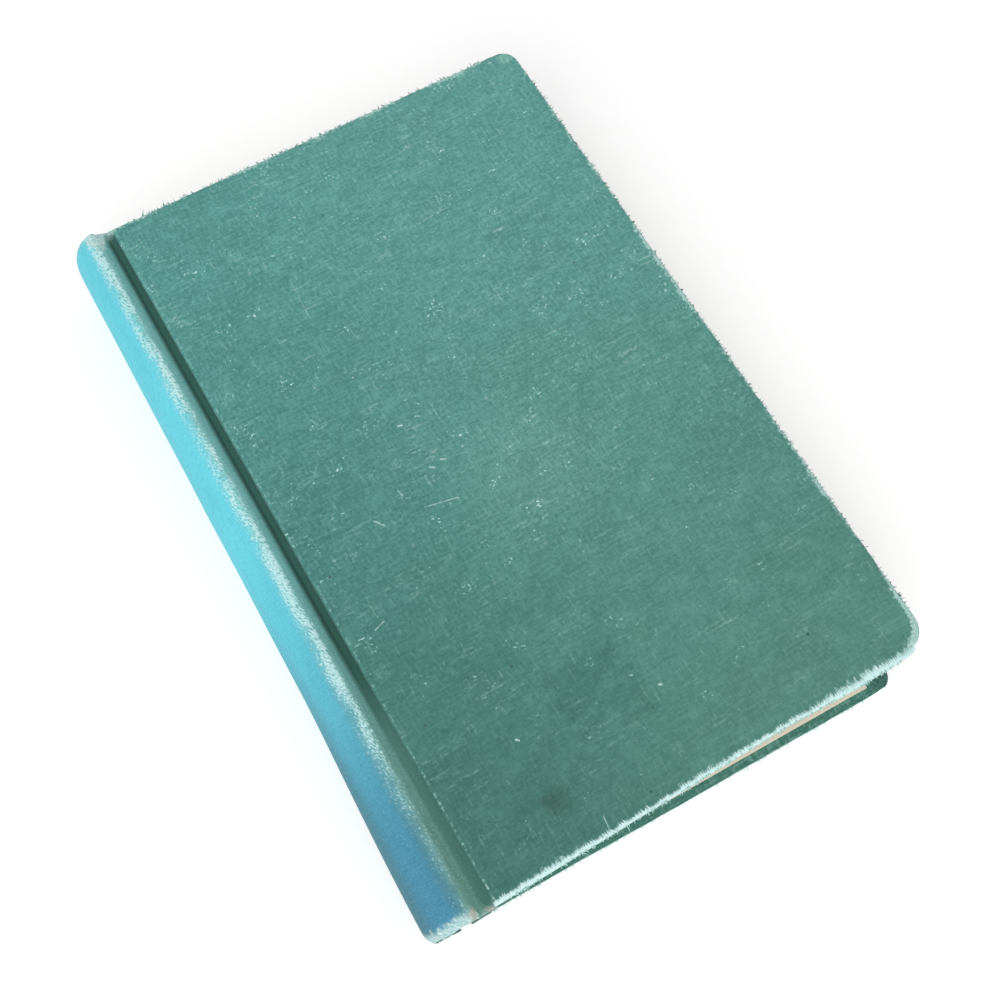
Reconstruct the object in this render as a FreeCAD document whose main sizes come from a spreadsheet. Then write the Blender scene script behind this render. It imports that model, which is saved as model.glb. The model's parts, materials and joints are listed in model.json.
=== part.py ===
"""An old cloth-bound hardback book, closed and lying on its back cover.

It is a case binding. A sewn text block has a rounded and backed spine, so its first and last leaves
flare out into shoulders. Two boards and a strip of card are wrapped in one piece of book cloth, which
runs over the spine as a hollow back and dips into a groove beside each shoulder. Endpapers hold the
block in this case. The book has gone cocked with use: its front cover has turned one way and its back
cover the other, about the middle of the joint, and the leaves between them fan from one to the other.

Millimetres. +X runs from the spine to the fore edge, +Y from tail to head, +Z up. The origin is in the
middle of the footprint, on the outside of the back cover, which the book lies on. Each cover turns about
its joint line, which is parallel to its own long edge and level with its outside.
"""

import FreeCAD
import Part
import math
import os

import Sketcher

doc = FreeCAD.newDocument("HardbackBook")

DRIVING_SIZES = {
    # the covers
    "cover_height": 210.0,  # head to tail, over the cloth
    "cover_width": 129.4,  # from its edge beside the groove to the fore edge, over the cloth
    "corner_radius": 6.5,  # of the two bumped corners at the fore edge
    "edge_radius": 0.9,  # of the rubbed outer edges
    "board_thickness": 2.6,
    "cloth_thickness": 0.4,
    "turn_in": 15.0,  # width of cloth folded to the inside
    "joint_space": 1.3,  # from the joint line to the edge of the cover
    "joint_clearance": 0.1,  # between cloth on the cover and cloth on the spine
    "cocked_angle": 1.87,  # of the front cover against the back cover, degrees
    # the text block and its endpapers
    "block_thickness": 23.6,
    "square": 3.6,  # by which a cover overhangs the leaves at head and tail
    "fore_square": 3.8,  # the same at the fore edge
    "cloth_margin": 2.4,  # of cloth left bare around the pastedown at head and tail
    "fore_cloth_margin": 7.6,  # the same at the fore edge
    "paper_thickness": 0.2,  # of an endpaper
    "air_gap": 0.2,  # between pastedown and flyleaf
    "shoulder_rise": 2.6,  # by which a shoulder stands above the leaves
    "shoulder_foot": 1.9,  # from the joint line to the foot of the shoulder
    "shoulder_lean": 1.8,  # by which its wall leans back
    "shoulder_reach": 4.5,  # from the joint line to the outermost edge of the shoulder
    # the spine
    "spine_bulge": 13.4,  # from the joint line to the middle of the spine
    "crest_reach": 4.2,  # from the joint line to the crest over a shoulder
    "crest_drop": 0.3,  # of the crest below the outside of the cover
    "crest_radius": 1.5,
    "groove_slope": 50.0,  # of the wall between crest and groove, degrees
    "inlay_thickness": 0.5,
    "inlay_share": 0.76,  # of the round of the spine that the card strip covers
    "hollow_gap": 1.3,  # between the card strip and the lined block
    "mull_thickness": 0.15,
    "lining_thickness": 0.2,
    "lining_margin": 6.0,  # of bare spine left at head and tail
    "glue_line": 0.08,  # between the layers of the spine
}
SPANS = 8  # stretches of the spine, each a ruled surface from one section to the next

sheet = doc.addObject("Spreadsheet::Sheet", "Sizes")
for row, (alias, number) in enumerate(DRIVING_SIZES.items(), start=1):
    sheet.set(f"A{row}", alias)
    sheet.set(f"B{row}", str(number))
    sheet.setAlias(f"B{row}", alias)
doc.recompute()


def size(alias):
    """A driving dimension, read from the sheet."""
    return float(sheet.get(alias))


# Sizes that follow from the driving ones, as formulas on the sheet's cells.
COVER_HALF = "Sizes.cover_height / 2"
FORE_EDGE = "(Sizes.joint_space + Sizes.cover_width)"
BOARD_INSIDE = "(Sizes.cloth_thickness + Sizes.board_thickness)"
CLOTH_INSIDE = f"({BOARD_INSIDE} + Sizes.cloth_thickness)"
COVER_DEPTH = f"({CLOTH_INSIDE} + Sizes.paper_thickness)"
FLYLEAF_LEVEL = f"({COVER_DEPTH} + Sizes.air_gap)"
BLOCK_LEVEL = f"({FLYLEAF_LEVEL} + Sizes.paper_thickness)"
BOOK_THICKNESS = f"(2 * {BLOCK_LEVEL} + Sizes.block_thickness)"
LEAF_HALF = "(Sizes.cover_height / 2 - Sizes.square)"
LEAF_FORE_EDGE = f"({FORE_EDGE} - Sizes.fore_square)"
HALF_COCKED = "Sizes.cocked_angle / 2"
OUTERMOST = (
    f"(({FORE_EDGE} - Sizes.corner_radius) * cos({HALF_COCKED})"
    f" + (Sizes.cover_height / 2 - Sizes.corner_radius) * sin({HALF_COCKED}) + Sizes.corner_radius)"
)
ORIGIN_REACH = f"({OUTERMOST} - Sizes.spine_bulge) / 2"
LINED = "(Sizes.mull_thickness + Sizes.lining_thickness + 2 * Sizes.glue_line)"
BLOCK_REACH = (
    "(Sizes.spine_bulge - Sizes.cloth_thickness - Sizes.inlay_thickness"
    f" - Sizes.hollow_gap - {LINED})"
)
SHOULDER_HALF = "(Sizes.block_thickness / 2 + Sizes.shoulder_rise)"
BLOCK_ROUND = f"({BLOCK_REACH} - Sizes.shoulder_reach)"
BLOCK_RADIUS = f"(({SHOULDER_HALF}^2 + {BLOCK_ROUND}^2) / (2 * {BLOCK_ROUND}))"


def worked_out(formula):
    """The number that a formula on the sheet gives."""
    return float(getattr(sheet.evalExpression(formula), "Value", sheet.evalExpression(formula)))


def leaf_spine_end(off_middle):
    """Formula for where a leaf meets the round of the spine, at a height off the middle of the block."""
    return f"({BLOCK_RADIUS} - {BLOCK_REACH} - sqrt({BLOCK_RADIUS}^2 - ({off_middle})^2))"


LEAF_WIDTH = f"({LEAF_FORE_EDGE} - {leaf_spine_end('Sizes.block_thickness / 2')})"


def new_body(label):
    body = doc.addObject("PartDesign::Body", label)
    body.Label = label
    return body


def flat_plane(body):
    """The body's own horizontal origin plane."""
    return next(f for f in body.Origin.OriginFeatures if f.Role == "XY_Plane")


def rectangle(body, name, left, right, half_height, level, turn="0"):
    """A sketch of a rectangle from x = left to right, at a level and turned about the joint."""
    sketch = body.newObject("Sketcher::SketchObject", name)
    sketch.AttachmentSupport = (flat_plane(body), [""])
    sketch.MapMode = "FlatFace"
    sketch.setExpression("AttachmentOffset.Base.z", level)
    sketch.setExpression("AttachmentOffset.Rotation.Angle", turn)
    x0, x1, y1 = (worked_out(formula) for formula in (left, right, half_height))
    corners = [FreeCAD.Vector(*point, 0) for point in ((x0, -y1), (x1, -y1), (x1, y1), (x0, y1))]
    for i in range(4):
        sketch.addGeometry(Part.LineSegment(corners[i], corners[(i + 1) % 4]), False)
    for i in range(4):
        sketch.addConstraint(Sketcher.Constraint("Coincident", i, 2, (i + 1) % 4, 1))
    for i, direction in ((0, "Horizontal"), (2, "Horizontal"), (3, "Vertical")):
        sketch.addConstraint(Sketcher.Constraint(direction, i))
    sketch.addConstraint(Sketcher.Constraint("Symmetric", 1, 1, 1, 2, -1))
    bind(sketch, "DistanceY", "height", (1, 1, 1, 2), f"2 * {half_height}")
    bind(sketch, "DistanceX", "width", (0, 1, 0, 2), f"{right} - {left}")
    from_origin = (-1, 1, 0, 1) if x0 >= 0 else (0, 1, -1, 1)
    bind(sketch, "DistanceX", "start", from_origin, left if x0 >= 0 else f"-{left}")
    return sketch


def bind(sketch, kind, name, places, formula):
    """A named dimension of a sketch, bound to a formula on the sheet."""
    index = sketch.addConstraint(Sketcher.Constraint(kind, *places, worked_out(formula)))
    sketch.renameConstraint(index, name)
    sketch.setExpression(f"Constraints.{name}", formula)


def extrude(body, kind, name, sketch, length, downwards=False):
    """A Pad or a Pocket of a sketch. A pad grows inwards from the outside of the cover, as a pocket does."""
    feature = body.newObject(f"PartDesign::{kind}", name)
    feature.Profile = sketch
    feature.setExpression("Length", length)
    feature.Reversed = downwards
    sketch.Visibility = False
    return feature


def rounded(body, name, feature, radius, wanted):
    """A fillet on each edge of a feature that passes the test."""
    doc.recompute()
    names = [f"Edge{i}" for i, edge in enumerate(feature.Shape.Edges, start=1) if wanted(edge)]
    fillet = body.newObject("PartDesign::Fillet", name)
    fillet.Base = (feature, names)
    fillet.setExpression("Radius", radius)
    return fillet


def at_fore_corner(edge):
    """Whether an edge stands upright at a fore-edge corner."""
    upright = abs(edge.Vertexes[0].Z - edge.Vertexes[-1].Z) > size("cloth_thickness")
    return upright and edge.Vertexes[0].X > size("cover_width") / 2


def on_the_outside(edge):
    """Whether an edge lies in the outside face of the cover."""
    return edge.BoundBox.ZMax < size("edge_radius") / 10


def place(thing, height="0", turn="0", upside_down=False):
    """Puts a piece that was drawn from the joint line in the book's frame."""
    flip = FreeCAD.Rotation(FreeCAD.Vector(1, 0, 0), 180 if upside_down else 0)
    twist = FreeCAD.Rotation(FreeCAD.Vector(0, 0, 1), worked_out(turn))
    thing.Placement = FreeCAD.Placement(FreeCAD.Vector(0, 0, 0), twist * flip)
    thing.setExpression("Placement.Base.x", f"-{ORIGIN_REACH}")
    thing.setExpression("Placement.Base.z", height)


# The covers are drawn from the outside inwards, so the front one is the back one turned over.


def board(side):
    """The stiff board, with two corners bumped round."""
    body = new_body(f"{side}_board")
    spine_side = "(Sizes.joint_space + Sizes.cloth_thickness)"
    fore_side = f"({FORE_EDGE} - Sizes.cloth_thickness)"
    half_height = "(Sizes.cover_height / 2 - Sizes.cloth_thickness)"
    name, level = f"{side}_board_outline", "Sizes.cloth_thickness"
    outline = rectangle(body, name, spine_side, fore_side, half_height, level)
    slab = extrude(body, "Pad", f"{side}_board_slab", outline, "Sizes.board_thickness")
    radius = "Sizes.corner_radius - Sizes.cloth_thickness"
    rounded(body, f"{side}_board_corners", slab, radius, at_fore_corner)
    return body


def cover_cloth(side, wrapped_board):
    """The cloth on one cover: over the outside, round the edges and turned in, and down into the groove."""
    wrap = new_body(f"{side}_wrap")
    outline = rectangle(wrap, f"{side}_wrap_outline", "Sizes.joint_space", FORE_EDGE, COVER_HALF, "0")
    slab = extrude(wrap, "Pad", f"{side}_wrap_slab", outline, CLOTH_INSIDE)
    corners = rounded(wrap, f"{side}_wrap_corners", slab, "Sizes.corner_radius", at_fore_corner)
    rounded(wrap, f"{side}_wrap_edges", corners, "Sizes.edge_radius", on_the_outside)
    in_groove = rectangle(
        wrap,
        f"{side}_groove_outline",
        "Sizes.joint_clearance / 2",
        "2 * Sizes.joint_space",
        COVER_HALF,
        BOARD_INSIDE,
    )
    extrude(wrap, "Pad", f"{side}_groove_strip", in_groove, "Sizes.cloth_thickness")
    window = rectangle(
        wrap,
        f"{side}_window_outline",
        "(Sizes.joint_space + Sizes.cloth_thickness)",
        f"({FORE_EDGE} - Sizes.turn_in)",
        f"({COVER_HALF} - Sizes.turn_in)",
        BOARD_INSIDE,
    )
    extrude(wrap, "Pocket", f"{side}_window", window, "2 * Sizes.cloth_thickness", downwards=True)
    cloth = doc.addObject("Part::Cut", f"{side}_cover_cloth")
    cloth.Base = wrap
    cloth.Tool = wrapped_board
    return wrap, cloth


def pastedown(side):
    """The pasted half of an endpaper: on the board, and up over the turned-in cloth all round."""
    body = new_body(f"{side}_pastedown")
    half_height = "(Sizes.cover_height / 2 - Sizes.cloth_margin)"
    fore_side = f"({FORE_EDGE} - Sizes.fore_cloth_margin)"
    rim = rectangle(
        body, f"{side}_rim_outline", "Sizes.joint_clearance", fore_side, half_height, CLOTH_INSIDE
    )
    extrude(body, "Pad", f"{side}_rim", rim, "Sizes.paper_thickness")
    window = ["(Sizes.joint_space + Sizes.cloth_thickness)", f"({FORE_EDGE} - Sizes.turn_in)"]
    window_half = f"({COVER_HALF} - Sizes.turn_in)"
    field = rectangle(body, f"{side}_field_outline", *window, window_half, BOARD_INSIDE)
    extrude(body, "Pad", f"{side}_field", field, "Sizes.cloth_thickness")
    dip = rectangle(
        body,
        f"{side}_dip_outline",
        f"({window[0]} + Sizes.paper_thickness)",
        f"({window[1]} - Sizes.paper_thickness)",
        f"({window_half} - Sizes.paper_thickness)",
        f"({BOARD_INSIDE} + Sizes.paper_thickness)",
    )
    extrude(body, "Pocket", f"{side}_dip", dip, "Sizes.cloth_thickness", downwards=True)
    return body


def flyleaf(side):
    """The free half of an endpaper, on the first or last leaf."""
    body = new_body(f"{side}_flyleaf")
    foot = "(-Sizes.shoulder_foot)"
    outline = rectangle(body, f"{side}_flyleaf_outline", foot, LEAF_FORE_EDGE, LEAF_HALF, FLYLEAF_LEVEL)
    extrude(body, "Pad", f"{side}_flyleaf_sheet", outline, "Sizes.paper_thickness")
    return body


def text_block():
    """The leaves as one solid: a loft through leaf outlines of one width, and two shoulders."""
    body = new_body("text_block")
    middle = f"({BOOK_THICKNESS} / 2)"
    half = "Sizes.block_thickness / 2"

    def leaf(name, off_middle, turn, right=None):
        left = leaf_spine_end(off_middle)
        right = right or f"({left} + {LEAF_WIDTH})"
        return rectangle(body, name, left, right, LEAF_HALF, f"{middle} + {off_middle}", turn)

    def loft(name, outlines):
        feature = body.newObject("PartDesign::AdditiveLoft", name)
        feature.Profile = outlines[0]
        feature.Sections = outlines[1:]
        feature.Ruled = True
        for outline in outlines:
            outline.Visibility = False
        return feature

    shares = [i / 6 for i in range(-6, 7)]
    leaves = [
        leaf(f"leaf_{i}", f"({share} * {half})", f"{share} * {HALF_COCKED}") for i, share in enumerate(shares)
    ]
    loft("leaves", leaves)
    for side, sign in (("back", -1), ("front", 1)):
        rises = [
            leaf(
                f"{side}_shoulder_{i}",
                f"({sign} * ({half} + {share} * Sizes.shoulder_rise))",
                f"{sign} * {HALF_COCKED}",
                f"(-Sizes.shoulder_foot - {share} * Sizes.shoulder_lean)",
            )
            for i, share in enumerate((0, 0.5, 1))
        ]
        loft(f"{side}_shoulder", rises)
    return body


# The spine pieces run from the tail to the head, while the cocked covers draw their section askew.


def askew(y):
    """How far the front cover's side of a section at y has moved towards the fore edge."""
    return -y * math.sin(math.radians(size("cocked_angle") / 2))


def spine_arc(y):
    """The centres of the two crests, and the circle through them and the middle of the spine."""
    middle = worked_out(BOOK_THICKNESS) / 2
    height = middle - size("crest_drop") - size("crest_radius")
    front = FreeCAD.Vector(askew(y) - size("crest_reach"), y, middle + height)
    back = FreeCAD.Vector(-askew(y) - size("crest_reach"), y, middle - height)
    middle_of_spine = FreeCAD.Vector(size("crest_radius") - size("spine_bulge"), y, middle)
    circle = Part.Arc(front, middle_of_spine, back).toShape().Curve
    return front, back, circle.Center, circle.Radius


def around(centre, radius, start, end, steps):
    """Points on an arc in a section of the spine, from one heading to another."""
    headings = [math.radians(start + (end - start) * i / steps) for i in range(steps + 1)]
    return [centre + FreeCAD.Vector(radius * math.cos(turn), 0, radius * math.sin(turn)) for turn in headings]


def heading(start, end):
    """The angle of a direction in a section, in degrees from +X towards +Z, in a full turn."""
    return math.degrees(math.atan2(end.z - start.z, end.x - start.x)) % 360


def down_to_groove(top, y, level, joint):
    """Points from the end of a crest down the wall of the groove and along its floor to the joint line."""
    run = abs(top.z - level) / math.tan(math.radians(size("groove_slope")))
    foot = FreeCAD.Vector(top.x + run, y, level)
    end = FreeCAD.Vector(joint - size("joint_clearance") / 2, y, level)
    return [top + (foot - top) * 0.6, foot + (end - foot) * 0.35, end]


def cloth_line(y, depth):
    """The cloth's line at a depth below its outside: groove, crest, spine, crest, groove."""
    front, back, centre, radius = spine_arc(y)
    offset = size("crest_radius") - depth
    front_turn, back_turn = heading(centre, front), heading(centre, back)
    steepest = 90 - size("groove_slope")
    front_crest = around(front, offset, steepest, front_turn, 3)
    back_crest = around(back, offset, back_turn, 360 - steepest, 3)
    spine = around(centre, radius + offset, front_turn, back_turn, 6)
    floor = worked_out(BOARD_INSIDE) + depth
    front_wall = down_to_groove(front_crest[0], y, worked_out(BOOK_THICKNESS) - floor, askew(y))
    back_wall = down_to_groove(back_crest[-1], y, floor, -askew(y))
    return front_wall[::-1] + front_crest + spine[1:-1] + back_crest + back_wall


def inlay_line(y, depth):
    """The round of the spine alone, at a depth below its outside and as wide as the card strip."""
    front, back, centre, radius = spine_arc(y)
    turns = heading(centre, front), heading(centre, back)
    bare = (1 - size("inlay_share")) / 2 * (turns[1] - turns[0])
    return around(centre, radius + size("crest_radius") - depth, turns[0] + bare, turns[1] - bare, 6)


def lining_line(y, reach):
    """The round of the backed leaves, at a distance behind them, from shoulder to shoulder."""
    half_block = size("block_thickness") / 2
    half_spine = half_block + size("shoulder_rise")
    points = []
    for i in range(13):
        off_middle = half_spine * (1 - i / 6)
        lean = max(-1, min(1, off_middle / half_block)) * size("cocked_angle") / 2
        x = worked_out(leaf_spine_end(str(off_middle))) - reach - y * math.tan(math.radians(lean))
        points.append(FreeCAD.Vector(x, y, worked_out(BOOK_THICKNESS) / 2 + off_middle))
    return points


def layer(line, y_from, y_to, outer, inner, spans=1):
    """A layer of the spine between two depths, from one place along it to another."""

    def section(y):
        sides = [line(y, outer), line(y, inner)]
        curves = [Part.BSplineCurve() for _ in sides]
        for curve, points in zip(curves, sides):
            curve.interpolate(points)
        ends = [Part.LineSegment(sides[0][i], sides[1][i]).toShape() for i in (-1, 0)]
        return Part.Wire([curves[0].toShape(), ends[0], curves[1].toShape(), ends[1]])

    sections = [section(y_from + (y_to - y_from) * i / spans) for i in range(spans + 1)]
    return Part.makeLoft(sections, True, True)


def spine_cloth():
    """The cloth over the spine, and the flaps turned in over the ends of the card strip."""
    half = size("cover_height") / 2
    cloth = size("cloth_thickness")
    flap_outside = cloth + size("inlay_thickness")
    pieces = [layer(cloth_line, -half, half, 0, cloth, SPANS)]
    for end in (-1, 1):
        fold = sorted((end * half, end * (half - cloth)))
        flap = sorted((end * half, end * (half - size("turn_in"))))
        pieces.append(layer(inlay_line, *fold, cloth / 2, flap_outside + cloth / 2))
        pieces.append(layer(inlay_line, *flap, flap_outside, flap_outside + cloth))
    return pieces[0].fuse(pieces[1:])


def spine_inlay():
    """The strip of card that stiffens the hollow back."""
    under_cloth = size("cloth_thickness") + size("glue_line")
    half = size("cover_height") / 2 - under_cloth
    inside = under_cloth + size("inlay_thickness") - 2 * size("glue_line")
    return layer(inlay_line, -half, half, under_cloth, inside, SPANS)


def spine_layer(inside, outside):
    """A sheet glued to the back of the block, between two distances behind the leaves."""
    half = worked_out(LEAF_HALF) - size("lining_margin")
    return layer(lining_line, -half, half, outside, inside, SPANS)


def feature_of(label, shape):
    feature = doc.addObject("Part::Feature", label)
    feature.Shape = shape
    return feature


def build():
    """Every piece of the book, by the name of its file."""
    pieces = {}
    for side, sign in (("front", 1), ("back", -1)):
        where = {
            "height": BOOK_THICKNESS if sign > 0 else "0",
            "turn": f"{sign} * {HALF_COCKED}",
            "upside_down": sign > 0,
        }
        stiffener = board(side)
        wrap, cloth = cover_cloth(side, stiffener)
        pasted, free = pastedown(side), flyleaf(side)
        for thing in (stiffener, wrap, pasted, free):
            place(thing, **where)
        pieces[f"{side}_board"] = stiffener
        pieces[f"{side}_cover_cloth"] = cloth
        pieces[f"{side}_pastedown"] = pasted
        pieces[f"{side}_flyleaf"] = free
    glue = size("glue_line")
    mull = glue + size("mull_thickness")
    lining = mull + glue + size("lining_thickness")
    spine_side = {
        "text_block": text_block(),
        "spine_cloth": feature_of("spine_cloth", spine_cloth()),
        "spine_inlay": feature_of("spine_inlay", spine_inlay()),
        "spine_mull": feature_of("spine_mull", spine_layer(glue, mull)),
        "spine_lining": feature_of("spine_lining", spine_layer(mull + glue, lining)),
    }
    for thing in spine_side.values():
        place(thing)
    pieces.update(spine_side)
    return pieces


pieces = build()
doc.recompute()
for thing in doc.Objects:
    if "Invalid" in thing.State or "Error" in thing.State:
        raise RuntimeError(f"{thing.Label} failed: {thing.State} {thing.getStatusString()}")
os.makedirs("parts", exist_ok=True)
for label, piece in pieces.items():
    shape = piece.Shape
    if shape.isNull() or not shape.isValid() or not shape.Solids:
        raise RuntimeError(f"{label} is not a valid solid")
    shape.exportStep(os.path.join("parts", f"{label}.step"))
    box = shape.BoundBox
    print(f"{label}: {len(shape.Solids)} solid, {shape.Volume:.1f} mm3, {box}")
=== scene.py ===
"""The looks of an old cloth-bound hardback book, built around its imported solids.

Each cover is a board wrapped in faded book cloth. The cloth runs on over two grooves and the hollow
spine, so the grooves bend when a cover opens. Between the covers lie the leaves and the endpapers.
"""

import functools
import itertools
import json
import math
import random

import bmesh
import bpy
from bpy.props import FloatProperty, FloatVectorProperty, PointerProperty
from mathutils import Matrix, Vector, noise
from mathutils.geometry import interpolate_bezier
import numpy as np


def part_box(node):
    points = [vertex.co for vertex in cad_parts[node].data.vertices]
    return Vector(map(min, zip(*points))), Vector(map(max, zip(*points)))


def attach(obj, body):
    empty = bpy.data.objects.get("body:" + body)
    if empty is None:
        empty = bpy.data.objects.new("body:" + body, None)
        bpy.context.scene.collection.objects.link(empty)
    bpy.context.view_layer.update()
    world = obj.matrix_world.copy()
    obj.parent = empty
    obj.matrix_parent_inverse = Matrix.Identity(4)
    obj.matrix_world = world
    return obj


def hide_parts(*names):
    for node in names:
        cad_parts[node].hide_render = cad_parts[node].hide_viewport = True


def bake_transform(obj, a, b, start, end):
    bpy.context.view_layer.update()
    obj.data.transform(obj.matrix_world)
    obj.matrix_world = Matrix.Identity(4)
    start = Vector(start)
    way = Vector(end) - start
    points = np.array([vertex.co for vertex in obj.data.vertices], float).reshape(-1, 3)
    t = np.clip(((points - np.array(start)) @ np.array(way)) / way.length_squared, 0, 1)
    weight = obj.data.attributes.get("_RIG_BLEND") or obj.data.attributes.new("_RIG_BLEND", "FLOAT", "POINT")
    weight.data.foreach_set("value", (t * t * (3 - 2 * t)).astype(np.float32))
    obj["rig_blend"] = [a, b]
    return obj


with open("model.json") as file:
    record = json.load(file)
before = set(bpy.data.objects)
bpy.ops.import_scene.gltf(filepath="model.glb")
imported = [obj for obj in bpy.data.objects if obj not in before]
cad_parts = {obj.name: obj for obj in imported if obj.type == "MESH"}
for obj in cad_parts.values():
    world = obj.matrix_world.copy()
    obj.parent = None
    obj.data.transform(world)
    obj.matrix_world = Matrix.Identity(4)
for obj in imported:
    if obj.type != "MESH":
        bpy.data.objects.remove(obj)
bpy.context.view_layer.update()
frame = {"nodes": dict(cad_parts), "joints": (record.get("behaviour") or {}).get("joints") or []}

bl_info = {
    "name": "Old hardback book",
    "version": (1, 0, 0),
    "blender": (4, 5, 0),
    "location": "3D View > Sidebar > Book",
    "description": "Worn book cloth, leaves and endpapers for a hardback book that opens",
    "category": "Add Mesh",
}

MM = 0.001
JOINT_X = frame["joints"][0]["pos_m"][0]
BOOK_TOP = frame["joints"][0]["pos_m"][2]
HALF_COCKED = math.atan2(frame["joints"][0]["axis"][0], -frame["joints"][0]["axis"][1])
LEAF_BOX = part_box("text_block")


def millimetres(name, text, value):
    """A length that a user can change, given in millimetres."""
    return FloatProperty(name=name, description=text, default=value * MM, unit="LENGTH")


def paint(name, text, value):
    """A colour that a user can change."""
    return FloatVectorProperty(name=name, description=text, default=value, subtype="COLOR")


class BookSizes(bpy.types.PropertyGroup):
    """Lengths of the book's pieces."""

    cover_height: millimetres("Cover height", "Head to tail, over the cloth", 210)
    cover_width: millimetres("Cover width", "Groove edge to fore edge, over the cloth", 129.4)
    cover_depth: millimetres("Cover thickness", "Board and two layers of cloth", 3.4)
    cloth: millimetres("Cloth", "Thickness of the book cloth", 0.4)
    turn_in: millimetres("Turn-in", "Width of the cloth folded to the inside", 15)
    joint_space: millimetres("Joint space", "Joint line to the cover's edge", 1.3)
    head_corner: millimetres("Head corner", "Radius of the fore-edge corners at the head", 5.2)
    tail_corner: millimetres("Tail corner", "Radius of the front cover's fore-edge corner at the tail", 6.5)
    square_corner: millimetres("Back tail corner", "Radius of the back cover's nearly square corner", 4.2)
    edge_radius: millimetres("Edge radius", "Rounding of the rubbed outer edges", 0.9)
    groove_depth: millimetres("Groove depth", "Depth of the groove at the head", 3)
    block_thickness: millimetres("Leaves", "Thickness of all the leaves", 23.6)
    leaf_width: millimetres("Leaf width", "Sewn edge to fore edge", 133.7)
    grid: millimetres("Cloth grid", "Spacing of the mesh lines in the cloth", 1.0)


class ClothLook(bpy.types.PropertyGroup):
    """Colours of the faded cloth."""

    head_by_spine: paint("Head, by the spine", "Cover colour", (0.102, 0.352, 0.318))
    head_by_fore: paint("Head, fore edge", "Cover colour", (0.124, 0.388, 0.345))
    tail_by_spine: paint("Tail, by the spine", "Cover colour", (0.062, 0.205, 0.172))
    tail_by_fore: paint("Tail, fore edge", "Cover colour", (0.098, 0.280, 0.226))
    spine_head: paint("Spine, head", "Sun-faded spine", (0.150, 0.735, 0.87))
    spine_tail: paint("Spine, tail", "Spine near the tail", (0.066, 0.275, 0.42))
    unfaded: paint("Unfaded", "Cloth that the light hasn't reached", (0.045, 0.17, 0.13))
    rubbed: paint("Rubbed", "Bare threads at the edges", (0.58, 0.86, 0.80))
    ridge: paint("Ridge", "The crest beside the groove", (0.215, 0.56, 0.54))


class PaperLook(bpy.types.PropertyGroup):
    """Colours of paper and card."""

    leaf_edge: paint("Leaf edges", "Cut edges of the leaves", (0.88, 0.84, 0.75))
    leaf_shade: paint("Leaf shade", "Toned edges between them", (0.70, 0.62, 0.48))
    endpaper: paint("Endpaper", "Pastedown and flyleaf", (0.98, 0.945, 0.915))
    foxing: paint("Foxing", "Brown spots", (0.52, 0.36, 0.20))
    card: paint("Card", "Boards and spine strip", (0.36, 0.29, 0.20))


class StageLook(bpy.types.PropertyGroup):
    """Camera, floor and light."""

    lens: FloatProperty(name="Lens", description="Focal length in millimetres", default=48.34)
    sky: FloatProperty(name="Sky", description="Strength of the surrounding light", default=0.52)
    lamp: FloatProperty(name="Lamp", description="Watts of the soft lamp", default=10.5)
    floor_size: FloatProperty(name="Floor", description="Side of the floor", default=6.0, unit="LENGTH")


SIDES = ("front", "back")


def sizes():
    """The lengths as they are set in the panel."""
    return bpy.context.scene.book_sizes


def smooth(value, low, high):
    """0 below low, 1 above high, and a soft step between."""
    share = min(1.0, max(0.0, (value - low) / (high - low)))
    return share * share * (3 - 2 * share)


def new_piece(name, bm, material):
    """The finished mesh as an object at the origin, in a material that is given by name."""
    mesh = bpy.data.meshes.new(name)
    bm.to_mesh(mesh)
    bm.free()
    piece = bpy.data.objects.new(name, mesh)
    bpy.context.scene.collection.objects.link(piece)
    mesh.materials.append(bpy.data.materials[material])
    for polygon in mesh.polygons:
        polygon.use_smooth = True
    return piece


def sharpen(piece, degrees):
    """Keeps the shading crisp at edges sharper than an angle."""
    piece.data.set_sharp_from_angle(angle=math.radians(degrees))
    return piece


def corners_of(item):
    """The vertices of a face or an edge, or the vertex itself."""
    return [item] if isinstance(item, bmesh.types.BMVert) else item.verts


def cut_grid(bm, normal, places):
    """Cuts the mesh by parallel planes, each time only what lies beyond the last one."""
    rest = bm.verts[:] + bm.edges[:] + bm.faces[:]
    for place in places:
        cut = bmesh.ops.bisect_plane(bm, geom=rest, dist=1e-7, plane_co=normal * place, plane_no=normal)
        beyond = place - 1e-6
        rest = [item for item in cut["geom"] if all(v.co.dot(normal) > beyond for v in corners_of(item))]


def evenly(low, high, step):
    """Places between two ends, at about a step."""
    count = max(1, round((high - low) / step))
    return [low + (high - low) * i / count for i in range(1, count)]


# The covers


WEAR_SEED = {"front": 3.0, "back": 47.0}
THREADS, THREAD_SEED = {"front": 900, "back": 420}, {"front": 21, "back": 34}
THREAD_ROOT, THREAD_TIP, THREAD_HOLD = 0.2 * MM, 0.04 * MM, 0.25 * MM
RUB_REACH, NOT_RUBBED = 2.2 * MM, 60.0
WINDOW_WALL, ABOVE_BOARD = 0.12 * MM, 0.01 * MM


def cover_frame(side):
    """From a cover's own lengths (across, along, depth below its outside) to the book's frame."""
    if side == "front":
        flip = Matrix.Diagonal((1, 1, -1, 1))
        return Matrix.Translation((JOINT_X, 0, BOOK_TOP)) @ Matrix.Rotation(HALF_COCKED, 4, "Z") @ flip
    return Matrix.Translation((JOINT_X, 0, 0)) @ Matrix.Rotation(-HALF_COCKED, 4, "Z")


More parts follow.
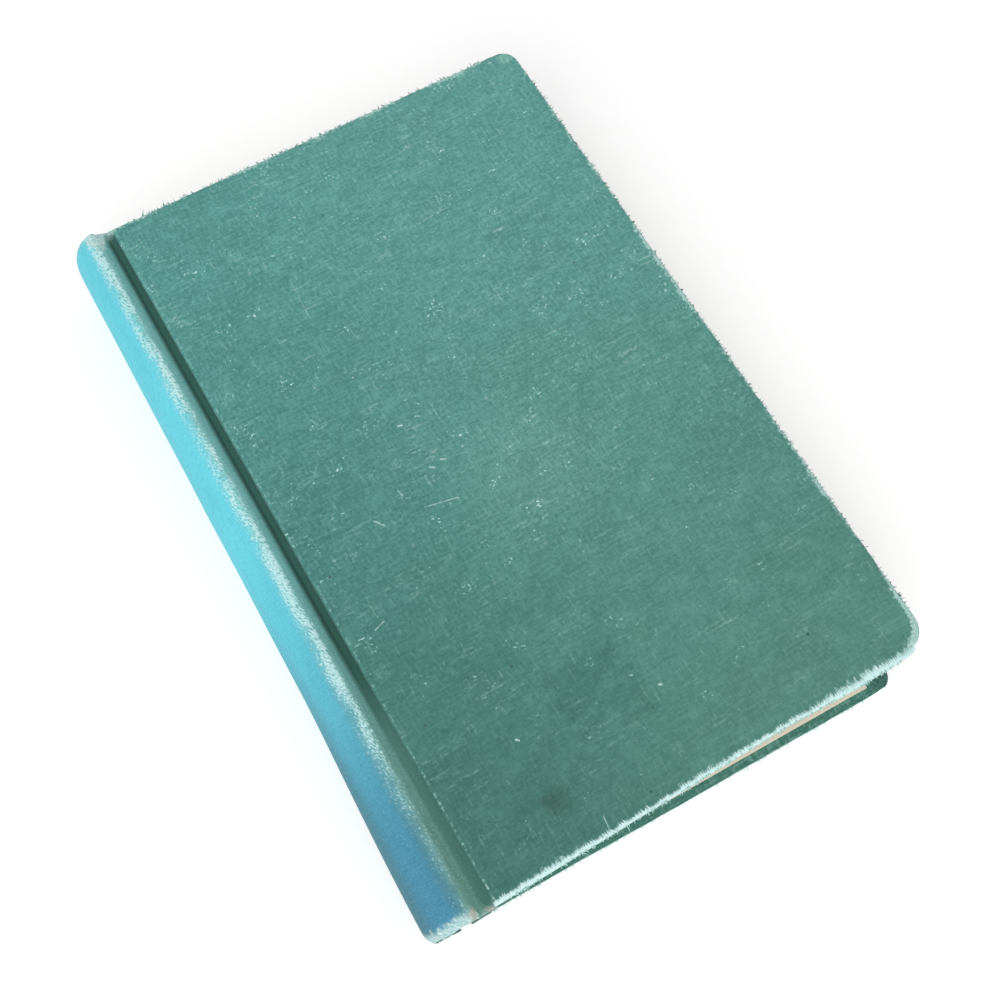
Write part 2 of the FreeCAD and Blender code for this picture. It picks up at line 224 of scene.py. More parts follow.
def from_rim(side, across, along):
    """Distance inwards from the outline at head, tail and fore edge, and the direction inwards."""
    s = sizes()
    half, fore = s.cover_height / 2, s.joint_space + s.cover_width
    radius = s.head_corner if along > 0 else tail_corner(side)
    into_x, into_y = across - (fore - radius), abs(along) - (half - radius)
    if into_x > 0 and into_y > 0:
        out = math.hypot(into_x, into_y)
        return radius - out, Vector((-into_x / out, -math.copysign(into_y / out, along)))
    if fore - across < half - abs(along):
        return fore - across, Vector((-1, 0))
    return half - abs(along), Vector((0, -math.copysign(1, along)))


def tail_corner(side):
    """Radius of a cover's tail corner: the back one is still nearly square."""
    return sizes().tail_corner if side == "front" else sizes().square_corner


def round_off(bm, edges, radius, segments):
    """Rounds edges to a radius, and gives what that makes."""
    return bmesh.ops.bevel(
        bm, geom=edges, offset=radius, affect="EDGES", segments=segments, profile=0.5, material=-1
    )


def cover_slab(side):
    """A cover's outside as a slab with bumped corners and rounded edges, cut to a fine grid."""
    s = sizes()
    left, right = s.joint_space, s.joint_space + s.cover_width
    half = s.cover_height / 2
    bm = bmesh.new()
    bmesh.ops.create_cube(bm, size=1)
    bmesh.ops.scale(bm, vec=(s.cover_width, s.cover_height, s.cover_depth), verts=bm.verts)
    bmesh.ops.translate(bm, vec=((left + right) / 2, 0, s.cover_depth / 2), verts=bm.verts)
    for sign, radius in ((1, s.head_corner), (-1, tail_corner(side))):
        at_corner = {v for v in bm.verts if v.co.x > right - MM and v.co.y * sign > half - MM}
        round_off(bm, [e for e in bm.edges if at_corner.issuperset(e.verts)], radius, 9)
    for level, radius, segments in ((0, s.edge_radius, 4), (s.cover_depth, 0.3 * MM, 2)):
        rim = [e for e in bm.edges if all(abs(v.co.z - level) < 1e-6 for v in e.verts)]
        round_off(bm, rim, radius, segments)
    step = s.grid * 1
    wall = WINDOW_WALL
    low, high, end = left + s.cloth, right - s.turn_in, half - s.turn_in
    window = [low, low + wall, high - wall, high]
    cut_grid(bm, Vector((1, 0, 0)), sorted(evenly(left, right, step) + window))
    window = [-end, wall - end, end - wall, end]
    cut_grid(bm, Vector((0, 1, 0)), sorted(evenly(-half, half, step) + window))
    for v in bm.verts:
        within = low + wall / 2 < v.co.x < high - wall / 2 and abs(v.co.y) < end - wall / 2
        if within and v.co.z > s.cover_depth / 2:
            v.co.z -= s.cloth - ABOVE_BOARD
    return bm


def bite(across, along, seed):
    """How far the rubbed rim has gone at a place, in metres."""
    place = Vector((across / MM, along / MM, seed))
    teeth = abs(noise.noise(place * 1.1))
    nicks = max(0.0, noise.noise(place * 0.16) - 0.12)
    wave = noise.noise(place * 0.035)
    share = 0.35 if along < -100 * MM else 1.0
    return (0.14 * teeth + 0.5 * nicks + 0.1 * (wave + 0.5)) * share * MM


def swell(side, across, along):
    """How far the knocked tail edge of a cover stands out at a place, in metres."""
    if along > -sizes().cover_height / 2 + 0.1 * MM:
        return 0.0
    if side == "back":
        drawn_in = 0.35 * (1 - smooth(across, 20 * MM, 60 * MM)) + 0.4 * smooth(across, 124 * MM, 129 * MM)
        return -drawn_in * MM
    bruised = smooth(across, 84 * MM, 108 * MM) * (1 - smooth(across, 122 * MM, 130 * MM))
    return (0.35 + 1.0 * bruised) * MM


def cover_bookcloth(side):
    """The cloth of one cover: its worn outside, and the space inside that the board fills."""
    s = sizes()
    bm = cover_slab(side)
    seed = WEAR_SEED[side]
    place = bm.verts.layers.float_vector.new("cloth")
    rim = bm.verts.layers.float.new("rim")
    for v in bm.verts:
        distance, inwards = from_rim(side, v.co.x, v.co.y)
        on_side = max(0.0, v.co.z)
        v[place] = (v.co.x / MM, v.co.y / MM, v.co.z / MM)
        v[rim] = (distance - (on_side if distance < s.edge_radius else 0)) / MM
        near = 1 - smooth(distance, 0, RUB_REACH)
        if near > 0:
            edge = Vector((v.co.x, v.co.y)) - inwards * distance
            gone = bite(edge.x, edge.y, seed) - swell(side, edge.x, edge.y)
            moved = inwards * min(gone, 0.85 * s.cloth) * near
            v.co.x += moved.x
            v.co.y += moved.y
        if v.co.z < s.cover_depth / 2:
            spot = Vector((v.co.x / MM, v.co.y / MM, seed))
            v.co.z += (0.05 + 0.07 * noise.noise(spot * 0.02) + 0.03 * noise.noise(spot * 0.12)) * MM
    bmesh.ops.transform(bm, matrix=cover_frame(side), verts=bm.verts)
    bmesh.ops.recalc_face_normals(bm, faces=bm.faces)
    hollow = bmesh.ops.create_cube(bm, size=1)["verts"]
    inner = Vector((s.cover_width, s.cover_height, s.cover_depth)) - Vector((2, 2, 2)) * s.cloth
    bmesh.ops.scale(bm, vec=inner, verts=hollow)
    bmesh.ops.translate(bm, vec=(s.joint_space + s.cover_width / 2, 0, s.cover_depth / 2), verts=hollow)
    upright = {
        e
        for v in hollow
        for e in v.link_edges
        if abs(e.verts[0].co.z - e.verts[1].co.z) > MM and e.verts[0].co.x > s.cover_width / 2
    }
    rounded = round_off(bm, list(upright), s.tail_corner - s.cloth, 6)
    hollow = list({*(v for v in hollow if v.is_valid), *rounded["verts"]})
    bmesh.ops.transform(bm, matrix=cover_frame(side), verts=hollow)
    inside = {f for v in hollow for f in v.link_faces}
    if side == "back":
        bmesh.ops.reverse_faces(bm, faces=list(inside))
    for v in hollow:
        v[rim] = NOT_RUBBED
    return sharpen(new_piece(f"{side}_cover_bookcloth", bm, "cover_bookcloth"), 40)


def loose_threads(side):
    """Short threads that stand out from the rubbed edges of a cover."""
    s = sizes()
    half, fore = s.cover_height / 2, s.joint_space + s.cover_width
    rng = random.Random(THREAD_SEED[side])
    short_side = s.cover_width - 14 * MM
    bm = bmesh.new()
    for _ in range(THREADS[side]):
        run = rng.random() * (2 * short_side + s.cover_height - 16 * MM)
        if run < short_side:
            across, along, turn = s.joint_space + 4 * MM + run, half, math.pi / 2
        elif run < 2 * short_side:
            across, along, turn = s.joint_space + 4 * MM + run - short_side, -half, -math.pi / 2
        else:
            across, along, turn = fore, run - 2 * short_side - half + 8 * MM, 0.0
        _, inwards = from_rim(side, across, along)
        gone = bite(across, along, WEAR_SEED[side]) - swell(side, across, along)
        start = Vector((across, along)) + inwards * (gone + THREAD_HOLD)
        length = rng.uniform(0.6, 1.3) * MM * (1.5 if rng.random() < 0.04 else 0.85)
        depth = rng.uniform(0.15, 0.9 if rng.random() < 0.6 else s.cover_depth / MM - 0.5) * MM
        tilt = rng.gauss(0, 0.2)
        if side == "back":
            depth, tilt = max(depth, 0.4 * MM), -abs(tilt)
        thread = bmesh.ops.create_cone(
            bm, cap_ends=True, segments=3, radius1=THREAD_ROOT, radius2=THREAD_TIP, depth=length
        )["verts"]
        bmesh.ops.translate(bm, vec=(0, 0, length / 2), verts=thread)
        lie = Matrix.Rotation(math.pi / 2 + tilt, 4, "Y")
        aim = Matrix.Rotation(turn + rng.gauss(0, 0.5), 4, "Z")
        root = Matrix.Translation((start.x, start.y, depth))
        bmesh.ops.transform(bm, matrix=root @ aim @ lie, verts=thread)
    bmesh.ops.transform(bm, matrix=cover_frame(side), verts=bm.verts)
    bmesh.ops.recalc_face_normals(bm, faces=bm.faces)
    return new_piece(f"{side}_loose_threads", bm, "loose_threads")


# The spine and the grooves, as sections from tail to head


CREST_STEPS, SPINE_STEPS = 7, 44
ACROSS_STEPS = 2 * CREST_STEPS + SPINE_STEPS
CREST_IN, CREST_DOWN, CREST_RADIUS, SPINE_OUT = 4.2 * MM, 1.8 * MM, 1.5 * MM, 11.9 * MM
SEAM_TURN = math.radians(65)
HEM, FLAP = 0.45 * MM, 3 * MM
CARD, CARD_UNDER, CARD_SHORT, CARD_ROWS = 0.36 * MM, 0.47 * MM, 0.6 * MM, 90
GROOVE_FOOT, GROOVE_END, WALL_STEPS, FLOOR_STEPS = -0.15 * MM, 1.75 * MM, 16, 7


def beyond_crest(point, reach):
    """0 at the crests and 1 where the spine stands out by a reach."""
    return min(1.0, max(0.0, (-CREST_IN - point.x) / reach))


def end_cap(along, point):
    """How far the cloth's end stands out over the head and the tail of the spine."""
    half = sizes().cover_height / 2
    out = beyond_crest(point, 6 * MM)
    upper = smooth(point.y, 6 * MM, BOOK_TOP)
    at_head = (0.9 + 1.7 * out) * MM * smooth(along, 88 * MM, half)
    return at_head - 0.6 * upper * MM * smooth(-along, 88 * MM, half)


def askew(along):
    """How far the front cover's side of a section has moved towards the fore edge."""
    return -along * math.sin(HALF_COCKED)


def spine_section(along):
    """The centres of both crests, and the circle through them and the middle of the spine."""
    front = Vector((askew(along) - CREST_IN, BOOK_TOP - CREST_DOWN))
    back = Vector((-askew(along) - CREST_IN, CREST_DOWN))
    middle = Vector((-SPINE_OUT, BOOK_TOP / 2))
    a, b = front - middle, back - middle
    cross = 2 * (a.x * b.y - a.y * b.x)
    a_square, b_square = a.length_squared, b.length_squared
    centre = Vector((b.y * a_square - a.y * b_square, a.x * b_square - b.x * a_square)) / cross
    return front, back, middle + centre, centre.length


def turn_of(start, end):
    """The angle of the line from start to end."""
    return math.atan2(end.y - start.y, end.x - start.x) % math.tau


def spine_point(step, along, depth):
    """A point of the cloth over the spine, at a depth below its outside."""
    front, back, centre, radius = spine_section(along)
    front_turn, back_turn = turn_of(centre, front), turn_of(centre, back)
    if step <= CREST_STEPS:
        middle, reach = front, CREST_RADIUS
        turn = SEAM_TURN + (front_turn - SEAM_TURN) * step / CREST_STEPS
    elif step <= CREST_STEPS + SPINE_STEPS:
        middle, reach = centre, radius + CREST_RADIUS
        turn = front_turn + (back_turn - front_turn) * (step - CREST_STEPS) / SPINE_STEPS
    else:
        middle, reach = back, CREST_RADIUS
        past = (step - CREST_STEPS - SPINE_STEPS) / CREST_STEPS
        turn = back_turn + (math.tau - SEAM_TURN - back_turn) * past
    reach = max(reach - depth, 0.12 * MM)
    return middle + reach * Vector((math.cos(turn), math.sin(turn)))


def groove_share(side, along):
    """How deep the groove still is at a place: on the front it fades towards the tail."""
    at_head = 0.35 * smooth(along, 100 * MM, 105 * MM)
    if side == "front":
        return 1 - 0.66 * (1 - smooth(along, -84 * MM, -16 * MM)) - at_head
    return 1 - 0.1 * (1 - smooth(along, -100 * MM, -60 * MM)) - at_head


def groove_profile(side, along):
    """The outside of the cloth from the crest into the groove and up to the board, drawn for the front."""
    outwards = Vector((math.cos(SEAM_TURN), math.sin(SEAM_TURN)))
    seam = Vector((-CREST_IN, -CREST_DOWN)) + CREST_RADIUS * outwards
    downhill = Vector((outwards.y, -outwards.x))
    floor = -sizes().groove_depth * groove_share(side, along)
    foot, end = Vector((GROOVE_FOOT, floor)), Vector((GROOVE_END, floor))
    handles = seam, seam + 2.7 * MM * downhill, foot - Vector((0.55 * MM, 0)), foot
    wall = interpolate_bezier(*(p.to_3d() for p in handles), WALL_STEPS)
    points = [p.to_2d() for p in wall] + [foot.lerp(end, i / FLOOR_STEPS) for i in range(1, FLOOR_STEPS + 1)]
    return [Vector((p.x + askew(along), p.y)) for p in points]


def lengthwise():
    """Stations along the cloth: flap, rounded hem, outside, rounded hem, flap, as (along, depth) pairs."""
    end = sizes().cover_height / 2 - HEM
    outside = evenly(-end, end, 1.4 * MM * (1))
    turns = [math.pi * i / 6 for i in range(7)]
    head = [(end + HEM * math.sin(turn), HEM * (1 - math.cos(turn))) for turn in turns]
    head += [(end - FLAP * i / 4, 2 * HEM) for i in range(1, 5)]
    tail = [(-along, depth) for along, depth in reversed(head)]
    return tail + [(along, 0.0) for along in outside] + head


def run_along(points):
    """Length from the first point to each point of a row, in millimetres."""
    return [0.0, *itertools.accumulate((b - a).length / MM for a, b in zip(points, points[1:]))]


def spine_across():
    """Each step's length from the middle of the spine, positive towards the front, in millimetres."""
    run = run_along([spine_point(i, 0, 0) for i in range(ACROSS_STEPS + 1)])
    return [run[-1] / 2 - part for part in run]


def wear_away(along, across, seed):
    """How far the worn ends of the spine have gone, in metres."""
    spot = Vector((across * 0.25, math.copysign(9, along), seed))
    return (0.5 * max(0.0, noise.noise(spot) + 0.1) + 0.2 * abs(noise.noise(spot * 7))) * MM


def knocked_in(point, along):
    """The spine as it is worn: its ends pushed in round, and its tail end swung out a little."""
    half = sizes().cover_height / 2
    out = beyond_crest(point, 9.2 * MM)
    reach, share = (1.6 * MM, 0.4) if along > 0 else (4.0 * MM, 0.55)
    near_end = min(1.0, max(0.0, (abs(along) - (half - reach)) / (reach + 2.6 * MM * (along > 0))))
    push = reach * share * (1 - math.sqrt(1 - near_end**2)) * out
    swing = 1.1 * MM * out * smooth(-along, 30 * MM, 92 * MM)
    ripple = 0.12 * MM * noise.noise(Vector((point.y / MM * 0.1, along / MM * 0.05, 4))) * out
    return Vector((point.x + push - swing + ripple, point.y))


def over_spine(step, along, depth):
    """Where a point over the spine lies in the book, with its worn ends."""
    p = spine_point(step, along, depth)
    along += end_cap(along, p)
    p = knocked_in(p, along)
    return Vector((JOINT_X + p.x, along, p.y))


def flat_sheet(steps, rows):
    """A sheet before it is laid in place, and each vertex's step across and row along."""
    bm = bmesh.new()
    bm.verts.layers.float_vector.new("cloth")
    bm.verts.layers.float.new("sunk")
    bmesh.ops.create_grid(bm, x_segments=steps, y_segments=rows, size=0.5)
    return bm, {v: (round((v.co.x + 0.5) * steps), round((v.co.y + 0.5) * rows)) for v in bm.verts}


def spine_bookcloth():
    """The cloth over the hollow spine, turned in over its card at head and tail."""
    s = sizes()
    half = s.cover_height / 2
    across = spine_across()
    over_card = max(across) * 0.72
    stations = lengthwise()
    bm, places = flat_sheet(ACROSS_STEPS, len(stations) - 1)
    place = bm.verts.layers.float_vector["cloth"]
    for v, (step, row) in places.items():
        along, depth = stations[row]
        v[place] = (across[step], along / MM, depth / MM)
        if depth >= 2 * HEM - 1e-9:
            reach = half - HEM - abs(along)
            share = 1 - smooth(abs(across[step]), over_card - 2, over_card + 1)
            along -= math.copysign(reach * 4 * share, along)
        near_end = smooth(abs(along), half - 5 * MM, half)
        off_seam = smooth(max(across) - abs(across[step]), 1, 3)
        along -= math.copysign(wear_away(along, across[step], 1.0) * near_end * off_seam, along)
        v.co = over_spine(step, along, depth)
    face_outwards(bm)
    bmesh.ops.solidify(bm, geom=bm.faces[:], thickness=s.cloth)
    return sharpen(new_piece("spine_bookcloth", bm, "spine_bookcloth"), 50)


def spine_card():
    """The strip of card that stiffens the hollow back, worn round at its ends with the cloth."""
    half = sizes().cover_height / 2 - CARD_SHORT
    bm, places = flat_sheet(ACROSS_STEPS, CARD_ROWS)
    first = CREST_STEPS + round(SPINE_STEPS * 0.12)
    last = CREST_STEPS + round(SPINE_STEPS * 0.88)
    outside = [v for v, (step, _) in places.items() if not first <= step <= last]
    for v, (step, row) in places.items():
        along = half * (2 * row / CARD_ROWS - 1)
        v.co = over_spine(step, along, CARD_UNDER)
    bmesh.ops.delete(bm, geom=outside, context="VERTS")
    face_outwards(bm)
    bmesh.ops.solidify(bm, geom=bm.faces[:], thickness=CARD)
    return sharpen(new_piece("spine_card", bm, "spine_card"), 50)


def face_outwards(bm):
    """Turns an open sheet's faces away from the leaves, told by its outermost face."""
    bmesh.ops.recalc_face_normals(bm, faces=bm.faces)
    centre = Vector((JOINT_X + 30 * MM, 0, BOOK_TOP / 2))
    middle = [f for f in bm.faces if abs(f.calc_center_median().y) < 80 * MM]
    outermost = max(middle, key=lambda f: (f.calc_center_median() - centre).length)
    if outermost.normal.dot(outermost.calc_center_median() - centre) < 0:
        bmesh.ops.reverse_faces(bm, faces=bm.faces[:])


def joint_bookcloth(side):
    """The cloth in a groove, from the crest of the spine down and across to the edge of the cover."""
    stations = lengthwise()
    outlines = [groove_profile(side, along) for along, _ in stations]
    lengths = [run_along(outline) for outline in outlines]
    seam, steps = spine_across()[0], len(outlines[0]) - 1
    bm, places = flat_sheet(steps, len(stations) - 1)
    place, sunk = bm.verts.layers.float_vector["cloth"], bm.verts.layers.float["sunk"]
    sign = 1 if side == "front" else -1
    for v, (step, row) in places.items():
        along, depth = stations[row]
        outline = outlines[row]
        along += end_cap(along, Vector((0, BOOK_TOP if side == "front" else 0)))
        before, after = outline[max(step - 1, 0)], outline[min(step + 1, steps)]
        direction = (after - before).normalized()
        normal = Vector((-direction.y, direction.x))
        if step == 0:
            normal = Vector((math.cos(SEAM_TURN), math.sin(SEAM_TURN)))
        p = outline[step] - normal * min(depth, CREST_RADIUS - 0.12 * MM)
        v[place] = (sign * (seam + lengths[row][step]), along / MM, depth / MM)
        v[sunk] = -outline[step].y / MM
        height = BOOK_TOP + p.y if side == "front" else -p.y
        v.co = Vector((JOINT_X + p.x, along, height))
    bmesh.ops.recalc_face_normals(bm, faces=bm.faces)
    middle = min(bm.faces, key=lambda f: abs(f.calc_center_median().y))
    if middle.normal.z * sign < 0:
        bmesh.ops.reverse_faces(bm, faces=bm.faces[:])
    bmesh.ops.solidify(bm, geom=bm.faces[:], thickness=sizes().cloth)
    return sharpen(new_piece(f"{side}_joint_bookcloth", bm, "spine_bookcloth"), 50)


# The leaves and the endpapers


LAYERS = 118
SPINE_ROUND, ROUND_REACH = 19.845 * MM, 10.69 * MM
SHOULDER_FOOT, SHOULDER_RISE, SHOULDER_LEAN = -1.9 * MM, 2.6 * MM, 1.8 * MM
SQUARE, FOLD_START, FOLD_WIDTH, FOLD_PAPER = 3.6 * MM, -2.6 * MM, 4.2 * MM, 0.12 * MM


def leaf_spine_end(off_middle):
    """Where a leaf meets the round of the spine, at a height off the middle of the block."""
    return SPINE_ROUND - ROUND_REACH - math.sqrt(SPINE_ROUND**2 - off_middle**2)


def leaves():
    """The sewn leaves: fanned by the lean, hollow at the fore edge, flared into shoulders at the spine."""
    s = sizes()
    half_thick = s.block_thickness / 2
    half_height = (LEAF_BOX[1].y - LEAF_BOX[0].y) / 2 / math.cos(HALF_COCKED) - 2.25 * MM
    rng = random.Random(8)
    bm = bmesh.new()
    bmesh.ops.create_cube(bm, size=2)
    cut_grid(bm, Vector((0, 0, 1)), evenly(-1, 1, 2 / LAYERS))
    near_spine = [-1 + 2 * i * 0.0026 for i in range(1, 20)]
    cut_grid(bm, Vector((1, 0, 0)), near_spine + evenly(-1, 1, 2 / 12))
    cut_grid(bm, Vector((0, 1, 0)), evenly(-1, 1, 2 / 34))
    groups = [rng.gauss(0, 0.07) for _ in range(LAYERS // 8 + 2)]
    jitter = [[(groups[i // 8] + rng.gauss(0, 0.06)) * MM for _ in range(3)] for i in range(LAYERS + 1)]
    for v in bm.verts:
        share = (v.co.x + 1) / 2
        layer = round((v.co.z + 1) / 2 * LAYERS)
        w, t = v.co.z, v.co.y
        fore, tail, head = jitter[layer]
        fore_end = leaf_spine_end(half_thick * w) + s.leaf_width
        off = half_thick * w
        for _ in range(3):
            spine_end = leaf_spine_end(off)
            x = spine_end + share * (fore_end - spine_end)
            rise = SHOULDER_RISE * abs(w) ** 3 * smooth(SHOULDER_FOOT - x, 0, SHOULDER_LEAN)
            off = half_thick * w + math.copysign(rise, w)
        if share > 0.999:
            x += fore - 0.12 * MM + 0.1 * MM * noise.noise(Vector((layer * 0.15, t * 4, 2)))
        y = t * half_height
        if abs(t) > 0.999:
            wave = 0.1 * MM * noise.noise(Vector((layer * 0.15, share * 5, 5)))
            y = math.copysign(half_height + (head if t > 0 else tail) - 0.1 * MM + wave, t)
        turn = HALF_COCKED * max(-1, min(1, off / half_thick))
        v.co = Matrix.Rotation(turn, 3, "Z") @ Vector((x, y, off)) + Vector((JOINT_X, 0, BOOK_TOP / 2))
    bmesh.ops.recalc_face_normals(bm, faces=bm.faces)
    return sharpen(new_piece("leaves", bm, "leaves"), 35)


def endpaper_fold(side):
    """The fold of an endpaper, between its pasted and its free half."""
    half = sizes().cover_height / 2 - SQUARE
    bm = bmesh.new()
    bmesh.ops.create_grid(bm, x_segments=14, y_segments=60, size=0.5)
    for v in bm.verts:
        share = v.co.x + 0.5
        across = FOLD_START + FOLD_WIDTH * share
        depth = (3.86 - 0.2 * smooth(share, 0.25, 0.75)) * MM
        v.co = Vector((across, 2 * v.co.y * half, depth))
    bmesh.ops.transform(bm, matrix=cover_frame(side), verts=bm.verts)
    bmesh.ops.recalc_face_normals(bm, faces=bm.faces)
    bmesh.ops.solidify(bm, geom=bm.faces[:], thickness=FOLD_PAPER)
    bmesh.ops.recalc_face_normals(bm, faces=bm.faces)
    return new_piece(f"{side}_endpaper_fold", bm, "endpaper")


# Materials


class Recipe:
    """Puts the nodes of one material together."""

    def __init__(self, name):
        self.material = bpy.data.materials.new(name)
        self.material.use_nodes = True
        self.tree = self.material.node_tree
        self.surface = self.tree.nodes["Principled BSDF"]

    def node(self, kind, **settings):
        """A new node with some of its settings."""
        made = self.tree.nodes.new(kind)
        for key, value in settings.items():
            setattr(made, key, value)
        return made

    def feed(self, socket, value):
        """Links a socket to another, or sets it to a number, a vector or a colour."""
        if isinstance(value, bpy.types.NodeSocket):
            self.tree.links.new(value, socket)
        elif hasattr(value, "__len__") and socket.type == "RGBA":
            socket.default_value = (*value[:3], 1)
        else:
            socket.default_value = value

    def math(self, operation, *values):
        """A sum on numbers or sockets."""
        made = self.node("ShaderNodeMath", operation=operation)
        for socket, value in zip(made.inputs, values):
            self.feed(socket, value)
        return made.outputs[0]

    def times(self, *values):
        """The product of several numbers or sockets."""
        return functools.reduce(functools.partial(self.math, "MULTIPLY"), values)

    def plus(self, *values):
        """The sum of several numbers or sockets."""
        return functools.reduce(functools.partial(self.math, "ADD"), values)

    def minus(self, first, second):
        """The first number or socket less the second."""
        return self.math("SUBTRACT", first, second)

    def attribute(self, name, output="Fac"):
        """An attribute of the piece's mesh."""
        return self.node("ShaderNodeAttribute", attribute_name=name).outputs[output]

    def object_place(self):
        """The place in the piece's own mesh, in millimetres."""
        return self.stretched(self.node("ShaderNodeTexCoord").outputs["Object"], (1000, 1000, 1000))

    def tinted(self, colour, tint):
        """A colour multiplied by a tint."""
        return self.mix(1.0, colour, tint, "MULTIPLY")

    def parts(self, vector):
        """The three parts of a vector."""
        made = self.node("ShaderNodeSeparateXYZ")
        self.feed(made.inputs[0], vector)
        return made.outputs

    def stretched(self, vector, factors, shift=(0, 0, 0)):
        """A place stretched along each axis and shifted."""
        made = self.node("ShaderNodeVectorMath", operation="MULTIPLY_ADD")
        self.feed(made.inputs[0], vector)
        made.inputs[1].default_value = factors
        made.inputs[2].default_value = shift
        return made.outputs[0]

    def noise(self, vector, factors, detail=2.0, rough=0.5, shift=(0, 0, 0)):
        """Cloudy noise, finer for larger factors."""
        made = self.node("ShaderNodeTexNoise")
        self.feed(made.inputs["Vector"], self.stretched(vector, factors, shift))
        made.inputs["Scale"].default_value = 1
        made.inputs["Detail"].default_value = detail
        made.inputs["Roughness"].default_value = rough
        return made.outputs[0]

    def spots(self, vector, factors, shift=(0, 0, 0)):
        """Distance to the nearest of scattered spots, and a random number of that spot."""
        made = self.node("ShaderNodeTexVoronoi")
        self.feed(made.inputs["Vector"], self.stretched(vector, factors, shift))
        made.inputs["Scale"].default_value = 1
        return made.outputs["Distance"], self.parts(made.outputs["Color"])[0]

    def band(self, value, low, high, from_value=0.0, to_value=1.0):
        """A soft step of a value between two levels."""
        made = self.node("ShaderNodeMapRange", interpolation_type="SMOOTHSTEP")
        self.feed(made.inputs["Value"], value)
        given = {"From Min": low, "From Max": high, "To Min": from_value, "To Max": to_value}
        for key, number in given.items():
            self.feed(made.inputs[key], number)
        return made.outputs["Result"]

    def mix(self, amount, first, second, blend="MIX"):
        """The second colour over the first one, by an amount."""
        made = self.node("ShaderNodeMix", data_type="RGBA", blend_type=blend)
        self.feed(made.inputs[0], amount)
        self.feed(made.inputs[6], first)
        self.feed(made.inputs[7], second)
        return made.outputs[2]

    def layered(self, colour, *layers):
        """Tones laid over a colour, each by a pattern, its two levels and an amount."""
        for pattern, low, high, amount, tone in layers:
            colour = self.mix(self.band(pattern, low, high, 0, amount), colour, tone)
        return colour

    def bump(self, height, distance, strength):
        """Fine relief in the surface."""
        made = self.node("ShaderNodeBump")
        made.inputs["Strength"].default_value = strength
        made.inputs["Distance"].default_value = distance
        self.feed(made.inputs["Height"], height)
        return made.outputs["Normal"]

    def finish_cloth(self, colour, weave, grain):
        """The dull, woven surface of book cloth."""
        normal = self.bump(self.plus(weave, self.times(grain, 0.6)), 0.12 * MM, 0.6)
        self.finish(colour, self.band(grain, 0.3, 0.7, 0.86, 0.72), normal, sheen=0.1)

    def finish(self, colour, roughness, normal=None, sheen=0.0, specular=0.3):
        """Feeds the shader."""
        self.feed(self.surface.inputs["Base Color"], colour)
        self.feed(self.surface.inputs["Roughness"], roughness)
        self.surface.inputs["Specular IOR Level"].default_value = specular
        self.surface.inputs["Sheen Weight"].default_value = sheen
        if normal is not None:
            self.feed(self.surface.inputs["Normal"], normal)


def segment_mark(r, across, along, start, end, width):
    """1 on a short scratch from start to end, in millimetres on the cover, and 0 beside it."""
    dx, dy = end[0] - start[0], end[1] - start[1]
    length = math.hypot(dx, dy)
    dx, dy = dx / length, dy / length
    px, py = r.minus(across, start[0]), r.minus(along, start[1])
    forward = r.plus(r.times(px, dx), r.times(py, dy))
    aside = r.minus(r.times(px, dy), r.times(py, dx))
    past = r.minus(r.math("ABSOLUTE", r.minus(forward, length / 2)), length / 2)
    past = r.math("MAXIMUM", past, 0.0)
    away = r.math("SQRT", r.plus(r.times(aside, aside), r.times(past, past)))
    return r.band(away, width, width * 0.4)


# Each mark on the front cover: start and end (across, along) in millimetres, width, strength.
SCRATCHES = (
    ((23.0, -7.2), (24.6, -9.4), 0.5, 0.5),
    ((36.3, -10.3), (45.1, -12.2), 0.3, 0.5),
    ((41.4, 13.2), (42.4, 12.9), 0.45, 0.8),
    ((46.8, 13.4), (47.8, 12.9), 0.4, 0.6),
    ((43.0, -1.2), (43.9, -1.9), 0.45, 0.7),
    ((46.5, -0.7), (47.7, -1.2), 0.45, 0.7),
    ((12.1, -31.9), (9.2, -32.8), 0.35, 0.5),
    ((34.3, -100.6), (33.9, -104.1), 0.3, 0.5),
    ((1.5, 0.9), (2.0, 0.7), 0.4, 0.9),
    ((25.6, -74.2), (26.1, -74.7), 0.5, 0.8),
    ((63.6, -80.3), (64.1, -80.6), 0.5, 0.8),
    ((58.4, -74.6), (59.0, -74.9), 0.4, 0.6),
    ((37.0, 66.3), (36.2, 53.2), 0.25, 0.25),
)


# Each stain or faded patch on the front cover: centre (across, along), reach, strength, tint.
STAINS = (
    ((48.4, -72.9), 15.0, 0.6, (0.66, 0.76, 0.74)),
    ((26.5, -91.9), 4.0, 0.7, (0.85, 0.66, 0.60)),
    ((66.0, -12.0), 24.0, 0.8, (1.28, 1.13, 1.14)),
    ((103.7, -88.5), 0.7, 0.9, (0.35, 0.40, 0.38)),
    ((47.4, -101.6), 0.7, 0.8, (0.35, 0.40, 0.38)),
    ((4.0, -8.0), 14.0, 0.4, (0.78, 0.86, 0.86)),
    ((127.6, 102.6), 3.2, 0.8, (2.1, 1.55, 1.50)),
    ((113.0, 103.0), 2.0, 0.7, (2.0, 1.50, 1.48)),
)


